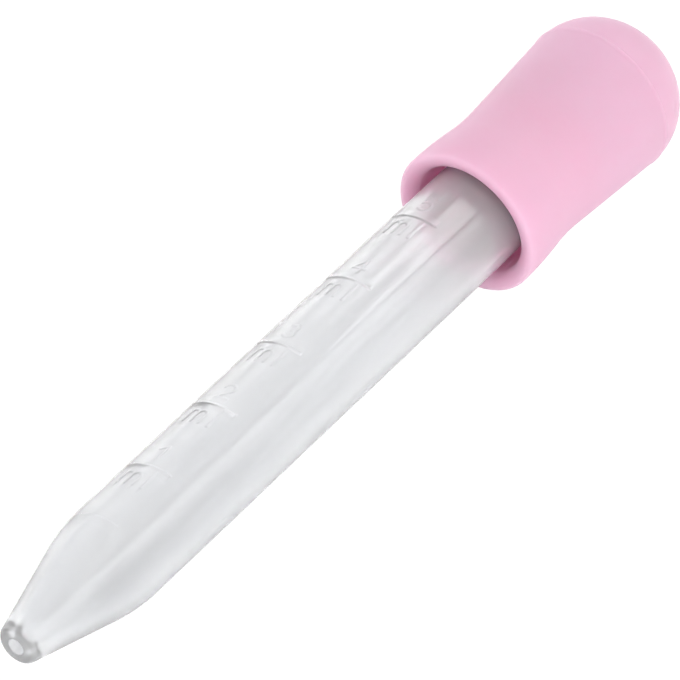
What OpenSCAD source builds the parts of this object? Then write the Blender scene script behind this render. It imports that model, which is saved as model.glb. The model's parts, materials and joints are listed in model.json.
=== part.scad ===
// Dropper pipette: a clear moulded tube with a conical nose, and a soft squeeze bulb on its open end.
// It lies on its side as it comes to rest, on the nose's shoulder and the bulb's lip.
// +X runs from the tip towards the bulb, and the origin is under the middle of its bounding box.
// Heights along the pipette are measured from the tip, along its own axis.

/* [Tube] */
// Outside diameter of the straight barrel
barrel_d = 12.2; // [9:0.1:18]
// Wall of the barrel and the nose
tube_wall = 1.0; // [0.6:0.1:1.6]
// Distance from the tip to the shoulder on which the bulb seats
barrel_l = 87; // [80:0.5:110]
// Distance from the tip to where the cone of the nose would meet the barrel
nose_l = 14.9; // [10:0.1:20]
// Radius of the soft corner between the nose and the barrel
nose_blend = 24; // [6:1:30]
// Outside diameter at the tip
tip_d = 4.7; // [4:0.1:6]
// Rounding of the tip's outer edge
tip_round = 0.85; // [0.1:0.05:1]
// Diameter of the orifice
orifice_d = 2; // [1:0.1:2.4]
// Length of the straight orifice
orifice_l = 2; // [1:0.1:4]
// Step in radius from the barrel down to the neck inside the bulb's sleeve
neck_step = 0.2; // [0.1:0.05:0.4]
// Length of the neck
neck_l = 8; // [4:0.5:12]

/* [Graduations] */
// Distances of the raised marks from the tip, the plain mark at the shoulder first
mark_at = [16, 25.4, 37.1, 48.8, 61.5, 73.7];
// Width of a mark at its foot
mark_w = 0.5; // [0.3:0.05:0.8]
// Width of a mark at its top
mark_top_w = 0.25; // [0.1:0.05:0.5]
// Height of a mark above the barrel
mark_h = 0.2; // [0.1:0.05:0.22]
// How far a mark runs round the barrel, in degrees
mark_arc = 58; // [20:1:120]
// How far the middle of the marks is turned from straight up, in degrees
mark_turn = 15; // [-180:1:180]

/* [Bulb] */
// Gap between the barrel and the mouth, just behind the lip
lip_gap = 0.95; // [0.6:0.05:1.4]
// Radius of the lip's soft inner edge, which leads into the mouth
lip_ease = 1.45; // [1:0.05:1.8]
// Radius of the lip's outer edge
lip_round = 0.6; // [0.4:0.05:0.9]
// Depth of the open mouth, from the lip's end to the face on the tube's shoulder
mouth_l = 6; // [3:0.5:9]
// Gap between the barrel and the mouth at its bottom
mouth_gap = 0.95; // [0.3:0.05:1.2]
// Wall of the sleeve at the waist, where it grips the neck
sleeve_wall = 2.58; // [2.2:0.01:2.8]
// Distance from the middle of the lip's outer edge to the waist
waist_l = 9.4; // [6:0.1:14]
// Share of that distance over which the lip flares out, before the hollow of the waist starts
flare_share = 0.65; // [0.3:0.05:0.8]
// Radius of the hollow on the bulb's side of the waist
waist_round = 26; // [10:1:40]
// How far the bulb's shoulder stands out beyond the waist
bulb_swell = 0.92; // [0.4:0.02:3]
// Distance from the waist to the shoulder
belly_l = 15.5; // [10:0.1:24]
// Height of the dome above the shoulder
dome_l = 8.3; // [6:0.1:14]
// Corner radius of the dome
dome_round = 8; // [3:0.1:10]
// Wall of the bulb around its chamber
bulb_wall = 1.6; // [1:0.1:2.4]
// Distance of the parting line from the shoulder, towards the dome
seam_l = 0; // [0:0.1:3]
// Width of the parting line
seam_w = 0.4; // [0.2:0.05:0.6]
// Height of the parting line above the bulb
seam_h = 0.08; // [0.03:0.01:0.2]

/* [Fit] */
// Gap between the tube's neck and the bulb's sleeve
sleeve_gap = 0.02; // [0:0.01:0.1]

/* [Hidden] */
$fn = 96;
// Steps in each arc of an outline
arc_steps = 16;
// Least corner left beside a limited dome radius
corner_least = 0.15;
// How deep a mark's foot is sunk into the wall
mark_sink = 0.2;
// How far the seams of the turned faces are moved round from the underside
seam_turn = 9.5;

// Tube
barrel_r = barrel_d / 2;
bore_r = barrel_r - tube_wall;
tip_r = tip_d / 2;
orifice_r = orifice_d / 2;
neck_r = barrel_r - neck_step;
tube_l = barrel_l + neck_l;
nose_angle = atan((barrel_r - tip_r) / nose_l);
blend_at = nose_l + nose_blend * tan(nose_angle / 2);
// where the cone of the nose's bore passes the tip's plane
bore_cone_r = tip_r - tube_wall / cos(nose_angle);
// the orifice opens at 45 degrees into that cone
funnel_end = (bore_cone_r - orifice_r + orifice_l) / (1 - tan(nose_angle));

// Bulb
sleeve_r = neck_r + sleeve_gap;
mouth_r = barrel_r + mouth_gap;
lip_ring_r = barrel_r + lip_gap + lip_ease;
lip_r = lip_ring_r + lip_round;
lip_end = barrel_l - mouth_l;
lip_at = lip_end + lip_round;
waist_r = sleeve_r + sleeve_wall;
waist_at = lip_at + waist_l;
bulb_r = waist_r + bulb_swell;
shoulder_at = waist_at + belly_l;
total_l = shoulder_at + dome_l;

// the S-curve from the lip to the waist: two tangent arcs that share one angle
s_angle = 2 * atan((lip_r - waist_r) / waist_l);
s_radius = waist_l / sin(s_angle);
flare_r = s_radius * flare_share;
hollow_r = s_radius - flare_r;

// the dome: a corner arc that runs into a cap, whose centre is on the axis
// (one that is taller than the bulb's radius becomes a half ball on a longer belly)
dome_rise = min(dome_l, bulb_r);
ring_at = total_l - dome_rise;
corner_r = min(dome_round, dome_rise - corner_least);
corner_in = bulb_r - corner_r;
cap_r = (pow(corner_in, 2) + pow(dome_rise, 2) - pow(corner_r, 2)) / (2 * (dome_rise - corner_r));
cap_angle = atan2(cap_r - dome_rise, corner_in);

// the straight taper of the belly, tangent to the waist's hollow and the dome's corner
belly_run = [ring_at - waist_at, waist_r + waist_round - corner_in];
belly_angle = atan2(belly_run[0], belly_run[1]) - acos((waist_round + corner_r) / norm(belly_run));

// past the end of the tube the sleeve opens at 45 degrees into the chamber
chamber_foot_r = waist_r + waist_round - (waist_round + bulb_wall) * cos(belly_angle);
chamber_foot_at = waist_at + (waist_round + bulb_wall) * sin(belly_angle);
chamber_at = (chamber_foot_r - chamber_foot_at * tan(belly_angle) - sleeve_r + tube_l) / (1 - tan(belly_angle));

// Rest: it tips until the lip or the shoulder meets the table together with the nose's shoulder.
// Each of the three is a circle in the side view, given as [distance from tip, radius of its centre, radius].
nose_ring = [blend_at, barrel_r - nose_blend, nose_blend];
lip_ring = [lip_at, lip_ring_r, lip_round];
shoulder_ring = [ring_at, corner_in, corner_r];
function tilt_to(c) = let (run = [c[0] - nose_ring[0], c[1] - nose_ring[1]])
    atan2(run[1], run[0]) - asin((nose_ring[2] - c[2]) / norm(run));
rest_tilt = max(tilt_to(lip_ring), tilt_to(shoulder_ring));
rest_lift = nose_ring[1] * cos(rest_tilt) + nose_ring[2] - nose_ring[0] * sin(rest_tilt);
// ends of the lying pipette along X, before it is centred
low_x = -(tip_r - tip_round) * sin(rest_tilt) + tip_round * (cos(rest_tilt) - 1);
high_x = (total_l - cap_r) * cos(rest_tilt) + cap_r;

// Points of an arc about [radius, distance from tip], angles from the radial direction
function arc(c, r, a0, a1) = [for (i = [0 : arc_steps]) let (a = a0 + (a1 - a0) * i / arc_steps)
    [c[0] + r * cos(a), c[1] + r * sin(a)]];

function reversed(points) = [for (i = [len(points) - 1 : -1 : 0]) points[i]];

// Outer radius of the tube at a distance from the tip: straight cone, soft corner, barrel
function tube_r(at) = at < blend_at - nose_blend * sin(nose_angle) ? tip_r + at * tan(nose_angle)
    : at < blend_at ? barrel_r - nose_blend + sqrt(pow(nose_blend, 2) - pow(blend_at - at, 2))
    : barrel_r;

// Lays a part that stands on its tip down into its resting place
module at_rest() {
    translate([-(low_x + high_x) / 2, 0, rest_lift])
        rotate([0, 90 - rest_tilt, 0])
            children();
}

module tube_outline() {
    tip_corner = tip_r + tip_round * tan(nose_angle) - tip_round / cos(nose_angle);
    polygon(concat(
        [[orifice_r, 0]],
        arc([tip_corner, tip_round], tip_round, -90, -nose_angle),
        arc([barrel_r - nose_blend, blend_at], nose_blend, -nose_angle, 0),
        [[barrel_r, barrel_l], [neck_r, barrel_l], [neck_r, tube_l], [bore_r, tube_l]],
        arc([barrel_r - nose_blend, blend_at], nose_blend - tube_wall, 0, -nose_angle),
        [[orifice_r + funnel_end - orifice_l, funnel_end], [orifice_r, orifice_l]]));
}

module mark(at) {
    foot_r = tube_r(at) - mark_sink;
    top_r = tube_r(at) + mark_h;
    rotate([0, 0, 180 - mark_turn - mark_arc / 2])
        rotate_extrude(angle = mark_arc)
            polygon([[foot_r, at - mark_w / 2], [top_r, at - mark_top_w / 2],
                     [top_r, at + mark_top_w / 2], [foot_r, at + mark_w / 2]]);
}

module tube() {
    color([0.92, 0.94, 0.95, 0.5])
        at_rest() {
            rotate([0, 0, seam_turn]) rotate_extrude() tube_outline();
            for (at = mark_at) mark(at);
        }
}

// Side of the bulb from the lip to the middle of the dome, moved in by a wall
function belly_side(inset) = concat(
    arc([waist_r + waist_round, waist_at], waist_round + inset, 180, 180 - belly_angle),
    arc([corner_in, ring_at], corner_r - inset, -belly_angle, cap_angle),
    arc([0, total_l - cap_r], cap_r - inset, cap_angle, 90));

module bulb_outline() {
    chamber = [for (p = belly_side(bulb_wall)) if (p[1] > chamber_at) p];
    polygon(concat(
        [[sleeve_r, barrel_l], [mouth_r, barrel_l]],
        arc([lip_ring_r, lip_end + lip_ease], lip_ease, -180, -90),
        arc([lip_ring_r, lip_at], lip_round, -90, 0),
        arc([lip_r - flare_r, lip_at], flare_r, 0, s_angle),
        arc([waist_r + hollow_r, waist_at], hollow_r, 180 + s_angle, 180),
        belly_side(0),
        reversed(chamber),
        [[sleeve_r + chamber_at - tube_l, chamber_at], [sleeve_r, tube_l]]));
}

// Outer radius of the dome at a height above its ring
function dome_r(rise) = rise < corner_r * sin(cap_angle) ? corner_in + sqrt(pow(corner_r, 2) - pow(rise, 2))
    : sqrt(pow(cap_r, 2) - pow(rise - dome_rise + cap_r, 2));

module seam() {
    at = ring_at + seam_l;
    r = dome_r(seam_l);
    rotate_extrude()
        polygon([[r - mark_sink, at - seam_w / 2], [r + seam_h, at - seam_w / 4],
                 [r + seam_h, at + seam_w / 4], [r - mark_sink, at + seam_w / 2]]);
}

module bulb() {
    color([0.93, 0.72, 0.82])
        at_rest() {
            rotate([0, 0, seam_turn]) rotate_extrude() bulb_outline();
            seam();
        }
}

tube();
bulb();
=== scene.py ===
"""A dropper pipette lying on a white table: a clear moulded tube with raised graduations,
and a soft pink silicone bulb pushed over its open end."""
import json
import math

import bpy
from mathutils import Matrix, Vector


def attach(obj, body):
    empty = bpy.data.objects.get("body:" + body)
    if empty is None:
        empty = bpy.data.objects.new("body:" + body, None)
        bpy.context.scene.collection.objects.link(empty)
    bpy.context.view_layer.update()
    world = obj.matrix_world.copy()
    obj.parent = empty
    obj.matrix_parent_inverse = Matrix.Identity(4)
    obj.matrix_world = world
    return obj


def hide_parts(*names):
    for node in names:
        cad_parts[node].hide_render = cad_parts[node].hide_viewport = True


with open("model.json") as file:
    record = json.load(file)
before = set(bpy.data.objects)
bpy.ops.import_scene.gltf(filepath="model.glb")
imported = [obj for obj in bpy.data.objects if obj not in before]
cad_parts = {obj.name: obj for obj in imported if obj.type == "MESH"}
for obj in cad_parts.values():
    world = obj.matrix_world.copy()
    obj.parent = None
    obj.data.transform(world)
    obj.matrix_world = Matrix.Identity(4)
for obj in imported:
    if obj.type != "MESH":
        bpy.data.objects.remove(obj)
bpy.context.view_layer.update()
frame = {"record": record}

# ---------------------------------------------------------------------------------------------
# The tube: moulded in one piece in slightly frosty clear plastic, with a conical nose, a thick
# collar round the orifice, and a stepped neck at the open end that the bulb is pushed over.
# ---------------------------------------------------------------------------------------------
MM = 0.001

# Its axis runs through the orifice and the straight barrel. It rises a little towards the bulb,
# because the bulb's lip is wider than the nose. Heights are in millimetres from the tip.
mounts = {mount["name"]: mount for mount in frame["record"]["mounts"]}
barrel_mount, orifice_mount = mounts["barrel"], mounts["tip_orifice"]
axis = -Vector(barrel_mount["axis"]).normalized()
orifice_r = orifice_mount["dims"]["r_mm"]
orifice_l = orifice_mount["dims"]["length_mm"]
tip_point = Vector(orifice_mount["pos_m"]) - axis * orifice_l / 2 * MM
barrel_r = barrel_mount["dims"]["r_mm"]
barrel_half = barrel_mount["dims"]["length_mm"] / 2
barrel_middle = (Vector(barrel_mount["pos_m"]) - tip_point).dot(axis) / MM
shoulder_at = barrel_middle - barrel_half
seat_at = barrel_middle + barrel_half

# Millimetres on a pipette that stands on its tip, to metres in its resting place
side = Vector((0, 1, 0))
lie = (Matrix.Translation(tip_point) @ Matrix((side.cross(axis), side, axis)).transposed().to_4x4()
       @ Matrix.Scale(MM, 4))

TIP_R, TIP_ROUND = 2.35, 0.85
NOSE_L, NOSE_BLEND = 14.9, 24
WALL = 1.0
NECK_STEP, NECK_L = 0.2, 8
TUBE_EDGE = 0.12  # how far its sharp edges are rounded
nose_angle = math.degrees(math.atan((barrel_r - TIP_R) / NOSE_L))
nose_slope = math.tan(math.radians(nose_angle))
bore_r = barrel_r - WALL
neck_r = barrel_r - NECK_STEP
tube_end = seat_at + NECK_L
blend_centre = (barrel_r - NOSE_BLEND, shoulder_at)
tip_corner = TIP_R + TIP_ROUND * nose_slope - TIP_ROUND / math.cos(math.radians(nose_angle))
bore_cone_r = TIP_R - WALL / math.cos(math.radians(nose_angle))
funnel_end = (bore_cone_r - orifice_r + orifice_l) / (1 - nose_slope)


def arc(centre, radius, start, end, steps=16):
    """Points (radius, height) on an arc; angles in degrees from the radial direction."""
    turns = [math.radians(start + (end - start) * i / steps) for i in range(steps + 1)]
    return [Vector((centre[0] + radius * math.cos(a), centre[1] + radius * math.sin(a))) for a in turns]


def softened(outline, fillet, least_turn=20, steps=5, closed=True):
    """The outline with each corner that turns by least_turn degrees or more made a small arc."""
    made = []
    outline = [p for i, p in enumerate(outline) if (p - outline[i - 1]).length > 1e-4]
    n = len(outline)
    for i, p in enumerate(outline):
        if not closed and i in (0, n - 1):
            made.append(p.copy())
            continue
        into, out = p - outline[i - 1], outline[(i + 1) % n] - p
        turn = into.angle_signed(out)
        if abs(math.degrees(turn)) < least_turn:
            made.append(p.copy())
            continue
        cut = min(fillet * math.tan(abs(turn) / 2), into.length * 0.45, out.length * 0.45)
        a, b = p - into.normalized() * cut, p + out.normalized() * cut
        for k in range(steps + 1):
            t = k / steps
            made.append(a * (1 - t) ** 2 + p * 2 * t * (1 - t) + b * t ** 2)
    return made


def spaced(outline, pitch, closed=True):
    """The outline with points added so that no step is longer than pitch(where it starts)."""
    made = []
    n = len(outline)
    for i in range(n if closed else n - 1):
        p, q = outline[i], outline[(i + 1) % n]
        length = (q - p).length
        made.append(p)
        steps = [0.0]
        while steps[-1] < length:
            steps.append(steps[-1] + pitch(p.lerp(q, min(steps[-1] / max(length, 1e-9), 1))))
        made += [p.lerp(q, step / steps[-1]) for step in steps[1:-1]]
    if not closed:
        made.append(outline[-1])
    return made


def wire(name, lines):
    """A mesh of open lines of points, given in millimetres."""
    points, edges = [], []
    for line in lines:
        edges += [(len(points) + i, len(points) + i + 1) for i in range(len(line) - 1)]
        points += line
    mesh = bpy.data.meshes.new(name)
    mesh.from_pydata(points, edges, [])
    piece = bpy.data.objects.new(name, mesh)
    bpy.context.scene.collection.objects.link(piece)
    return piece


def tube_radius(at):
    """Outer radius of the nose and the barrel at a height."""
    if at >= shoulder_at:
        return barrel_r
    if at > shoulder_at - NOSE_BLEND * math.sin(math.radians(nose_angle)):
        return barrel_r - NOSE_BLEND + math.sqrt(NOSE_BLEND ** 2 - (shoulder_at - at) ** 2)
    return TIP_R + at * nose_slope


# Raised bars go part of the way round. Five have a figure above them and "ml" below.
GRADUATIONS = [25.4, 37.1, 48.8, 61.5, 73.7]
PLAIN_MARK = 16
MARK_ARC, MARK_MIDDLE = 58, 165  # degrees round the barrel
MARK_H, MARK_FOOT, MARK_CREST = 0.1, 0.27, 0.06
LETTER_H, LETTER_FOOT, LETTER_CREST = 0.06, 0.24, 0.05
UNIT_BAND, BAR_BAND, FIGURE_BAND = (-4.0, -1.0), (-0.4, 0.4), (0.9, 4.0)
FINE_STEP, COARSE_STEP = 0.1, 0.8
raised_bands = [(at + low, at + high) for at in GRADUATIONS
                for low, high in (UNIT_BAND, BAR_BAND, FIGURE_BAND)]
raised_bands.append((PLAIN_MARK + BAR_BAND[0], PLAIN_MARK + BAR_BAND[1]))


def tube_pitch(p):
    """Steps of the outline: short under the raised bars and letters, and long elsewhere."""
    outside = p.x > tube_radius(p.y) - 0.01 and p.y < seat_at
    raised = outside and any(low < p.y < high for low, high in raised_bands)
    return FINE_STEP if raised else COARSE_STEP


outer = (arc((tip_corner, TIP_ROUND), TIP_ROUND, -90, -nose_angle, 10)
         + arc(blend_centre, NOSE_BLEND, -nose_angle, 0, 12)
         + [Vector((barrel_r, seat_at)), Vector((neck_r, seat_at)), Vector((neck_r, tube_end))])
inner = ([Vector((bore_r, tube_end))] + arc(blend_centre, NOSE_BLEND - WALL, 0, -nose_angle, 12)
         + [Vector((orifice_r + funnel_end - orifice_l, funnel_end)),
            Vector((orifice_r, orifice_l)), Vector((orifice_r, 0))])
tube_outline = spaced(softened(outer + inner, TUBE_EDGE), tube_pitch)
tube = wire("tube_shell", [[(p.x, 0, p.y) for p in tube_outline]])

# Strokes of each figure, in shares of its height, about the middle of its foot
CURVE_STEPS = 14
FIGURES = {
    "1": [[(-0.26, 0.74), (0.08, 1.0), (0.08, 0.0)]],
    "2": [arc((0, 0.7), 0.3, 165, -38, CURVE_STEPS) + [(-0.33, 0.0), (0.35, 0.0)]],
    "3": [arc((0, 0.75), 0.25, 150, -90, CURVE_STEPS) + arc((0, 0.26), 0.27, 85, -150, CURVE_STEPS)],
    "4": [[(0.14, 0.0), (0.14, 1.0), (-0.34, 0.3), (0.36, 0.3)]],
    "5": [[(0.3, 1.0), (-0.22, 1.0), (-0.26, 0.55)] + arc((0, 0.32), 0.31, 132, -148, CURVE_STEPS)],
}
FIGURE_L, FIGURE_GAP = 2.35, 1.25
LETTERS_MIDDLE = 166.6  # degrees round the barrel

# Strokes of "ml" in millimetres: two stems, and two arches between the m's stem and its last leg
UNIT_L, UNIT_GAP = 2.0, 1.35
M_LEFT, ARCH_R = -1.75, 0.55
L_AT, L_RISE = 1.6, 0.35
unit_strokes = [[(M_LEFT, 0), (M_LEFT, UNIT_L)], [(L_AT, 0), (L_AT, UNIT_L + L_RISE)]]
for leg in (M_LEFT, M_LEFT + 2 * ARCH_R):
    unit_strokes.append([(leg, UNIT_L - ARCH_R)]
                        + arc((leg + ARCH_R, UNIT_L - ARCH_R), ARCH_R, 180, 0, CURVE_STEPS)
                        + [(leg + 2 * ARCH_R, 0)])
STROKE_STEP = 0.12


def walked(line):
    """The line with points added, so that it can be bent round the barrel."""
    made = [tuple(line[0])]
    for p, q in zip(line, line[1:]):
        n = max(1, math.ceil(math.dist(p, q) / STROKE_STEP))
        made += [(p[0] + (q[0] - p[0]) * i / n, p[1] + (q[1] - p[1]) * i / n) for i in range(1, n + 1)]
    return made


def bent_round(line, at):
    """A flat stroke laid on the barrel, above a height: x goes round to the right, and y up."""
    turns = [math.radians(LETTERS_MIDDLE) + x / barrel_r for x, y in line]
    return [(barrel_r * math.cos(a), barrel_r * math.sin(a), at + y) for a, (x, y) in zip(turns, line)]


def mark_line(at):
    """The middle line of a raised bar."""
    turns = [math.radians(MARK_MIDDLE - MARK_ARC / 2 + MARK_ARC * i / 40) for i in range(41)]
    r = tube_radius(at)
    return [(r * math.cos(a), r * math.sin(a), at) for a in turns]


letter_lines = []
for figure, at in zip("12345", GRADUATIONS):
    for stroke in FIGURES[figure]:
        line = walked([(x * FIGURE_L, y * FIGURE_L) for x, y in stroke])
        letter_lines.append(bent_round(line, at + FIGURE_GAP))
    letter_lines += [bent_round(walked(stroke), at - UNIT_GAP - UNIT_L) for stroke in unit_strokes]
letters = wire("letter_strokes", letter_lines)
marks = wire("mark_strokes", [mark_line(at) for at in GRADUATIONS + [PLAIN_MARK]])


def new_tree(name, inputs):
    """A Geometry Nodes tree with named inputs, and the identifier of each."""
    tree = bpy.data.node_groups.new(name, "GeometryNodeTree")
    tree.interface.new_socket("Geometry", in_out="INPUT", socket_type="NodeSocketGeometry")
    ids = {}
    for label, kind in inputs:
        ids[label] = tree.interface.new_socket(label, in_out="INPUT", socket_type=kind).identifier
    tree.interface.new_socket("Geometry", in_out="OUTPUT", socket_type="NodeSocketGeometry")
    return tree, ids


class Tree:
    """A small hand for wiring a node tree."""

    def __init__(self, tree):
        self.tree = tree

    def add(self, kind, inputs=(), **settings):
        node = self.tree.nodes.new(kind)
        for k, v in settings.items():
            setattr(node, k, v)
        for key, value in dict(inputs).items():
            socket = node.inputs[key]
            if isinstance(value, bpy.types.NodeSocket):
                self.tree.links.new(value, socket)
            else:
                socket.default_value = value
        return node

    def math(self, operation, *values):
        return self.add("ShaderNodeMath", enumerate(values), operation=operation).outputs[0]


# Turns an outline round the axis: rows follow the outline's points, and columns go round. The
# first share of the columns stands closer, between two turns, and the others share the rest.
turned_tree, turned_in = new_tree("turned_shell", [
    ("Columns", "NodeSocketInt"), ("Fine From", "NodeSocketFloat"), ("Fine To", "NodeSocketFloat"),
    ("Fine Share", "NodeSocketFloat"), ("Closed", "NodeSocketBool"), ("Material", "NodeSocketMaterial")])
t = Tree(turned_tree)
given = t.add("NodeGroupInput").outputs
counted = t.add("GeometryNodeAttributeDomainSize", {0: given["Geometry"]}, component="MESH")
count = counted.outputs["Point Count"]
rows = t.math("ADD", count, given["Closed"])
columns = t.math("ADD", given["Columns"], 1)
grid = t.add("GeometryNodeMeshGrid", {
    "Vertices X": rows, "Vertices Y": columns, "Size X": 1.0, "Size Y": 1.0})
index = t.add("GeometryNodeInputIndex").outputs[0]
row = t.math("FLOOR", t.math("DIVIDE", t.math("ADD", index, 0.5), columns))
row_point = t.math("MODULO", t.math("ADD", row, 0.01), count)
share = t.math("DIVIDE", t.math("SUBTRACT", index, t.math("MULTIPLY", row, columns)), given["Columns"])
fine = t.add("ShaderNodeMapRange", {
    "Value": share, "From Min": 0.0, "From Max": given["Fine Share"],
    "To Min": given["Fine From"], "To Max": given["Fine To"]})
the_rest = t.math("SUBTRACT", 2 * math.pi, t.math("SUBTRACT", given["Fine To"], given["Fine From"]))
coarse = t.add("ShaderNodeMapRange", {
    "Value": share, "From Min": given["Fine Share"], "From Max": 1.0, "To Min": 0.0, "To Max": the_rest})
angle = t.math("ADD", fine.outputs[0], coarse.outputs[0])
point = t.add("GeometryNodeSampleIndex", {
    "Geometry": given["Geometry"], "Value": t.add("GeometryNodeInputPosition").outputs[0],
    "Index": t.math("FLOOR", row_point)}, data_type="FLOAT_VECTOR", domain="POINT", clamp=True)
spun = t.add("ShaderNodeVectorRotate", {"Vector": point.outputs[0], "Angle": angle}, rotation_type="Z_AXIS")
placed = t.add("GeometryNodeSetPosition", {"Geometry": grid.outputs[0], "Position": spun.outputs[0]})
merged = t.add("GeometryNodeMergeByDistance", {"Geometry": placed.outputs[0], "Distance": 0.0005})
outward = t.add("GeometryNodeFlipFaces", {"Mesh": merged.outputs[0]})
smooth = t.add("GeometryNodeSetShadeSmooth", {"Geometry": outward.outputs[0]})
realized = t.add("GeometryNodeRealizeInstances", {"Geometry": smooth.outputs[0]})
clad = t.add("GeometryNodeSetMaterial", {"Geometry": realized.outputs[0], "Material": given["Material"]})
t.add("NodeGroupOutput", {0: clad.outputs[0]})

# Raises a surface along strokes: a stroke is a line of edges that lies on it
raised_tree, raised_in = new_tree("raised_strokes", [
    ("Strokes", "NodeSocketObject"), ("Height", "NodeSocketFloat"), ("Foot", "NodeSocketFloat"),
    ("Crest", "NodeSocketFloat"), ("Material", "NodeSocketMaterial")])
t = Tree(raised_tree)
given = t.add("NodeGroupInput").outputs
strokes = t.add("GeometryNodeObjectInfo", {"Object": given["Strokes"]})
near = t.add("GeometryNodeProximity", {0: strokes.outputs["Geometry"]}, target_element="EDGES")
rise = t.add("ShaderNodeMapRange", {
    "Value": near.outputs["Distance"], "From Min": given["Crest"], "From Max": given["Foot"],
    "To Min": given["Height"], "To Max": 0.0}, interpolation_type="SMOOTHSTEP")
push = t.add("ShaderNodeVectorMath", {0: t.add("GeometryNodeInputNormal").outputs[0],
                                      "Scale": rise.outputs[0]}, operation="SCALE")
lifted = t.add("GeometryNodeSetPosition", {"Geometry": given["Geometry"], "Offset": push.outputs[0]})
realized = t.add("GeometryNodeRealizeInstances", {"Geometry": lifted.outputs[0]})
clad = t.add("GeometryNodeSetMaterial", {"Geometry": realized.outputs[0], "Material": given["Material"]})
t.add("NodeGroupOutput", {0: clad.outputs[0]})


def add_modifier(piece, tree, ids, values):
    modifier = piece.modifiers.new(tree.name, "NODES")
    modifier.node_group = tree
    for label, value in values.items():
        modifier[ids[label]] = value


def finished(piece):
    """Turns the piece's modifiers into a plain mesh, and lays it down in its resting place."""
    bpy.context.view_layer.update()
    seen = piece.evaluated_get(bpy.context.evaluated_depsgraph_get())
    mesh = bpy.data.meshes.new_from_object(seen)
    piece.modifiers.clear()
    piece.data = mesh
    mesh.transform(lie)


# The skin of a moulded piece: a fine grain on soft waves, and cloudy patches that change its
# colour a little and its gloss. Sizes are in metres.
skin_group = bpy.data.node_groups.new("moulded_skin", "ShaderNodeTree")
for label, kind in (("Color", "NodeSocketColor"), ("Cloud Color", "NodeSocketColor"),
                    ("Roughness", "NodeSocketFloat"), ("Roughness Spread", "NodeSocketFloat"),
                    ("Cloud Size", "NodeSocketFloat"), ("Wave Size", "NodeSocketFloat"),
                    ("Wave Height", "NodeSocketFloat"), ("Grain Size", "NodeSocketFloat"),
                    ("Grain Height", "NodeSocketFloat"), ("Stretch", "NodeSocketVector")):
    skin_group.interface.new_socket(label, in_out="INPUT", socket_type=kind)
for label, kind in (("Color", "NodeSocketColor"), ("Roughness", "NodeSocketFloat"),
                    ("Height", "NodeSocketFloat")):
    skin_group.interface.new_socket(label, in_out="OUTPUT", socket_type=kind)
t = Tree(skin_group)
given = t.add("NodeGroupInput").outputs
place = t.add("ShaderNodeVectorMath", {0: t.add("ShaderNodeTexCoord").outputs["Object"],
                                       1: given["Stretch"]}, operation="MULTIPLY").outputs[0]


def noise(size, detail):
    scale = t.math("DIVIDE", 1.0, given[size])
    return t.add("ShaderNodeTexNoise", {"Vector": place, "Scale": scale, "Detail": detail}).outputs[0]


cloud = t.add("ShaderNodeMapRange", {"Value": noise("Cloud Size", 3.0), "From Min": 0.35, "From Max": 0.65},
              interpolation_type="SMOOTHSTEP").outputs[0]
tint = t.add("ShaderNodeMix", {0: cloud, 6: given["Color"], 7: given["Cloud Color"]}, data_type="RGBA")
spread = t.math("MULTIPLY", t.math("SUBTRACT", cloud, 0.5), given["Roughness Spread"])
waves = t.math("MULTIPLY", t.math("SUBTRACT", noise("Wave Size", 1.0), 0.5), given["Wave Height"])
grain = t.math("MULTIPLY", t.math("SUBTRACT", noise("Grain Size", 2.0), 0.5), given["Grain Height"])
t.add("NodeGroupOutput", {"Color": tint.outputs[2], "Roughness": t.math("ADD", given["Roughness"], spread),
                          "Height": t.math("ADD", waves, grain)})


def skinned(material, values):
    """Gives a material the moulded skin, and returns its shader."""
    material.use_nodes = True
    shader = material.node_tree.nodes["Principled BSDF"]
    hand = Tree(material.node_tree)
    skin = hand.add("ShaderNodeGroup", node_tree=skin_group)
    for label, value in values.items():
        skin.inputs[label].default_value = value
    bump = hand.add("ShaderNodeBump", {"Height": skin.outputs["Height"], "Strength": 1.0, "Distance": 1.0})
    for source, label in ((skin.outputs["Color"], "Base Color"), (skin.outputs["Roughness"], "Roughness"),
                          (bump.outputs[0], "Normal")):
        material.node_tree.links.new(source, shader.inputs[label])
    return shader


plastic = bpy.data.materials.new("frosted_plastic")
shader = skinned(plastic, {
    "Color": (0.955, 0.965, 0.985, 1), "Cloud Color": (0.975, 0.98, 0.99, 1), "Roughness": 0.05,
    "Roughness Spread": 0.02, "Cloud Size": 0.012, "Wave Size": 0.009, "Wave Height": 0.00002,
    "Grain Size": 0.0006, "Grain Height": 0.0000015, "Stretch": (0.25, 1, 1)})
shader.inputs["IOR"].default_value = 1.49
shader.inputs["Transmission Weight"].default_value = 0.79
shader.inputs["Subsurface Weight"].default_value = 1.0
shader.inputs["Subsurface Radius"].default_value = (1, 1, 1)
shader.inputs["Subsurface Scale"].default_value = 0.001

TUBE_COLUMNS, TUBE_FINE_SHARE = 150, 0.56
fine_half = MARK_ARC / 2 + 4  # degrees on each side of the bars' middle
add_modifier(tube, turned_tree, turned_in, {
    "Columns": TUBE_COLUMNS, "Fine From": math.radians(MARK_MIDDLE - fine_half),
    "Fine To": math.radians(MARK_MIDDLE + fine_half), "Fine Share": TUBE_FINE_SHARE, "Closed": True,
    "Material": plastic})
add_modifier(tube, raised_tree, raised_in, {
    "Strokes": marks, "Height": MARK_H, "Foot": MARK_FOOT, "Crest": MARK_CREST, "Material": plastic})
add_modifier(tube, raised_tree, raised_in, {
    "Strokes": letters, "Height": LETTER_H, "Foot": LETTER_FOOT, "Crest": LETTER_CREST, "Material": plastic})
finished(tube)
for strokes in (letters, marks):
    bpy.data.objects.remove(strokes)
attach(tube, "root")
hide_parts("tube")


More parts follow.
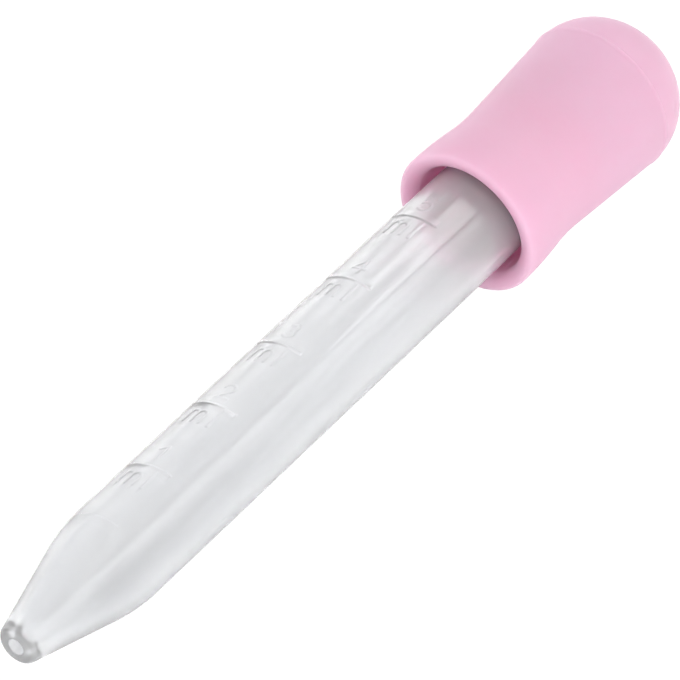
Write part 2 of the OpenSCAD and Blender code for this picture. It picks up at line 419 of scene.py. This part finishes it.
# ---------------------------------------------------------------------------------------------
# The bulb: moulded in one piece in soft silicone, with a flared lip round an open mouth, a
# sleeve that grips the tube's neck, and a round end with the mould's parting line below it.
# ---------------------------------------------------------------------------------------------
LIP_GAP, LIP_EASE, LIP_ROUND = 0.95, 1.45, 0.6
MOUTH_L, MOUTH_GAP = 6, 0.95
SLEEVE_GAP, SLEEVE_WALL = 0.02, 2.58
WAIST_L, FLARE_SHARE, WAIST_ROUND = 9.4, 0.65, 26
BULB_SWELL, BELLY_L = 0.92, 15.5
DOME_L, DOME_ROUND = 8.3, 8.0
BULB_WALL = 1.6
BULB_EDGE = 0.25  # how far its sharp edges are rounded
SEAM_FOOT, SEAM_CREST, SEAM_H = 0.22, 0.06, 0.08

lip_ring_r = barrel_r + LIP_GAP + LIP_EASE
lip_r = lip_ring_r + LIP_ROUND
lip_end = seat_at - MOUTH_L
lip_at = lip_end + LIP_ROUND
sleeve_r = neck_r + SLEEVE_GAP
waist_r = sleeve_r + SLEEVE_WALL
waist_at = lip_at + WAIST_L
bulb_r = waist_r + BULB_SWELL
ring_at = waist_at + BELLY_L
bulb_end = ring_at + DOME_L

# The flare from the lip to the waist is two arcs, and so is the belly from the waist to the ring.
# A wide arc closes the dome.
s_angle = 2 * math.degrees(math.atan((lip_r - waist_r) / WAIST_L))
s_radius = WAIST_L / math.sin(math.radians(s_angle))
flare_r = s_radius * FLARE_SHARE
hollow_r = s_radius - flare_r
corner_in = bulb_r - DOME_ROUND
cap_r = (corner_in ** 2 + DOME_L ** 2 - DOME_ROUND ** 2) / (2 * (DOME_L - DOME_ROUND))
cap_angle = math.degrees(math.atan2(cap_r - DOME_L, corner_in))
belly_run = (BELLY_L, waist_r + WAIST_ROUND - corner_in)
belly_turn = math.atan2(*belly_run) - math.acos((WAIST_ROUND + DOME_ROUND) / math.hypot(*belly_run))
belly_angle = math.degrees(belly_turn)


def belly_side(inset):
    """The bulb's side from the waist to the middle of the dome, moved in by a wall."""
    return (arc((waist_r + WAIST_ROUND, waist_at), WAIST_ROUND + inset, 180, 180 - belly_angle, 10)
            + arc((corner_in, ring_at), DOME_ROUND - inset, -belly_angle, cap_angle, 24)
            + arc((0, bulb_end - cap_r), cap_r - inset, cap_angle, 90, 12))


# The chamber narrows to the tube's end at 45 degrees
belly_slope = math.tan(math.radians(belly_angle))
chamber_foot = arc((waist_r + WAIST_ROUND, waist_at), WAIST_ROUND + BULB_WALL, 180 - belly_angle, 180, 1)[0]
chamber_at = (chamber_foot.x - chamber_foot.y * belly_slope - sleeve_r + tube_end) / (1 - belly_slope)
chamber = [p for p in belly_side(BULB_WALL) if p.y > chamber_at]
bulb_outline = (chamber[::-1]
                + [Vector((sleeve_r + chamber_at - tube_end, chamber_at)), Vector((sleeve_r, tube_end)),
                   Vector((sleeve_r, seat_at)), Vector((barrel_r + MOUTH_GAP, seat_at))]
                + arc((lip_ring_r, lip_end + LIP_EASE), LIP_EASE, -180, -90)
                + arc((lip_ring_r, lip_at), LIP_ROUND, -90, 0, 10)
                + arc((lip_r - flare_r, lip_at), flare_r, 0, s_angle, 10)
                + arc((waist_r + hollow_r, waist_at), hollow_r, 180 + s_angle, 180, 10)
                + belly_side(0))
SEAM_BAND, SEAM_STEP, BULB_STEP = 0.4, 0.08, 0.38


def bulb_pitch(p):
    """Steps of the outline: short under the parting line."""
    on_seam = abs(p.y - ring_at) < SEAM_BAND and p.x > bulb_r - BULB_WALL / 2
    return SEAM_STEP if on_seam else BULB_STEP


bulb_outline = softened(bulb_outline, BULB_EDGE, least_turn=12, closed=False)
bulb_outline = spaced(bulb_outline, bulb_pitch, closed=False)
bulb = wire("bulb_shell", [[(p.x, 0, p.y) for p in bulb_outline]])
turns = [math.radians(3 * i) for i in range(121)]
seam = wire("seam_stroke", [[(bulb_r * math.cos(a), bulb_r * math.sin(a), ring_at) for a in turns]])

silicone = bpy.data.materials.new("pink_silicone")
shader = skinned(silicone, {
    "Color": (0.64, 0.372, 0.485, 1), "Cloud Color": (0.655, 0.386, 0.507, 1), "Roughness": 0.5,
    "Roughness Spread": 0.12, "Cloud Size": 0.014, "Wave Size": 0.006, "Wave Height": 0.00002,
    "Grain Size": 0.0004, "Grain Height": 0.000006, "Stretch": (1, 1, 1)})
shader.inputs["IOR"].default_value = 1.41
shader.inputs["Subsurface Weight"].default_value = 1.0
shader.inputs["Subsurface Radius"].default_value = (1.0, 0.8, 0.85)
shader.inputs["Subsurface Scale"].default_value = 0.005

BULB_COLUMNS = 160
add_modifier(bulb, turned_tree, turned_in, {
    "Columns": BULB_COLUMNS, "Fine From": 0.0, "Fine To": math.pi, "Fine Share": 0.5, "Closed": False,
    "Material": silicone})
add_modifier(bulb, raised_tree, raised_in, {
    "Strokes": seam, "Height": SEAM_H, "Foot": SEAM_FOOT, "Crest": SEAM_CREST, "Material": silicone})
finished(bulb)
bpy.data.objects.remove(seam)
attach(bulb, "root")
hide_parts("bulb")


# ---------------------------------------------------------------------------------------------
# Table, camera and light: a plain white table, a long lens that looks down on the pipette from
# the tip's side, soft boxes round it, and soft light from everywhere.
# ---------------------------------------------------------------------------------------------
REACH = 3.0
table_mesh = bpy.data.meshes.new("table")
table_mesh.from_pydata([(-REACH, -REACH, 0), (REACH, -REACH, 0), (REACH, REACH, 0), (-REACH, REACH, 0)], [],
                       [(0, 1, 2, 3)])
table = bpy.data.objects.new("table", table_mesh)
bpy.context.scene.collection.objects.link(table)

# Seen directly, the table is an even white; for all else it is a matt white surface
white = bpy.data.materials.new("white_table")
white.use_nodes = True
t = Tree(white.node_tree)
matt = white.node_tree.nodes["Principled BSDF"]
matt.inputs["Base Color"].default_value = (0.9, 0.9, 0.9, 1)
matt.inputs["Roughness"].default_value = 0.9
glow = t.add("ShaderNodeEmission", {"Strength": 1.08})
seen_first = t.add("ShaderNodeLightPath").outputs["Is Camera Ray"]
either = t.add("ShaderNodeMixShader", {0: seen_first, 1: matt.outputs[0], 2: glow.outputs[0]})
white.node_tree.links.new(either.outputs[0], white.node_tree.nodes["Material Output"].inputs[0])
table_mesh.materials.append(white)

VIEW_AZIMUTH, VIEW_ELEVATION = math.radians(-53.456), math.radians(40.875)
VIEW_DISTANCE = 1094.1
LOOKED_AT = 57.97  # height on the axis of the point in the middle of the view
LOOKED_LEFT = 0.13  # how far that point stands to the axis's left
LENS, SENSOR = 529.4, 36
back = Vector((math.sin(VIEW_AZIMUTH) * math.cos(VIEW_ELEVATION),
               -math.cos(VIEW_AZIMUTH) * math.cos(VIEW_ELEVATION), math.sin(VIEW_ELEVATION)))

# The direction across the axis that faces the camera, and the one to its right
facing = (back - axis * back.dot(axis)).normalized()
right_of_it = axis.cross(facing)

camera = bpy.data.objects.new("camera", bpy.data.cameras.new("camera"))
camera.data.sensor_width = SENSOR
camera.data.lens = LENS
camera.data.clip_start, camera.data.clip_end = 0.01, 20
camera.location = lie @ Vector((0, 0, LOOKED_AT)) + (back * VIEW_DISTANCE - right_of_it * LOOKED_LEFT) * MM
camera.rotation_euler = back.to_track_quat("Z", "Y").to_euler()
bpy.context.scene.collection.objects.link(camera)
bpy.context.scene.camera = camera


def lamp(name, turns, leans, radiance, aim=60, distance=2.0):
    """A soft box aimed at a height on the axis. In degrees, it spans a range of turns round the
    axis from the camera's side, and of leans towards the bulb."""
    turn, lean = math.radians(sum(turns) / 2), math.radians(sum(leans) / 2)
    out = (facing * math.cos(turn) + right_of_it * math.sin(turn)) * math.cos(lean) + axis * math.sin(lean)
    along = (axis - out * axis.dot(out)).normalized()
    light = bpy.data.lights.new(name, "AREA")
    light.shape = "RECTANGLE"
    light.size = 2 * distance * math.tan(math.radians(leans[1] - leans[0]) / 2)
    light.size_y = 2 * distance * math.tan(math.radians(turns[1] - turns[0]) / 2) * math.cos(lean)
    light.energy = radiance * light.size * light.size_y * math.pi
    box = bpy.data.objects.new(name, light)
    box.matrix_world = (Matrix.Translation(lie @ Vector((0, 0, aim)) + out * distance)
                        @ Matrix((along, out.cross(along), out)).transposed().to_4x4())
    box.visible_camera = False
    bpy.context.scene.collection.objects.link(box)


# Leans of the boxes beside the barrel, before the nose and under the tip
BESIDE, BEFORE, UNDER = (-5, 60), (-35, -4), (-65, -35)
for name, turns, leans, radiance in (
        ("left_low", (-132, -112), BESIDE, 1.3),
        ("left_high", (-92, -72), BESIDE, 1.0),
        ("left_top", (-72, -54), BESIDE, 0.2),
        ("right_high", (6, 20), BESIDE, 1.7),
        ("right", (20, 36), BESIDE, 1.2),
        ("right_low", (36, 60), BESIDE, 0.6),
        ("front_low", (-130, -75), BEFORE, 2.8),
        ("front_left", (-75, -30), BEFORE, 0.5),
        ("front", (-30, 10), BEFORE, 2.2),
        ("front_right", (10, 60), BEFORE, 1.9),
        ("under_tip", (0, 60), UNDER, 1.9)):
    lamp(name, turns, leans, radiance)
lamp("over_mouth", (-54, 3), (36, 60), 2.7, aim=63, distance=0.6)

ROOM_LIGHT = 0.38
world = bpy.data.worlds.new("studio")
bpy.context.scene.world = world
world.use_nodes = True
world.node_tree.nodes["Background"].inputs["Color"].default_value = (1, 1, 1, 1)
world.node_tree.nodes["Background"].inputs["Strength"].default_value = ROOM_LIGHT
bpy.context.scene.view_settings.view_transform = "Standard"
bpy.context.scene.cycles.max_bounces = 24
bpy.context.scene.cycles.diffuse_bounces = 10
bpy.context.scene.cycles.transmission_bounces = 16
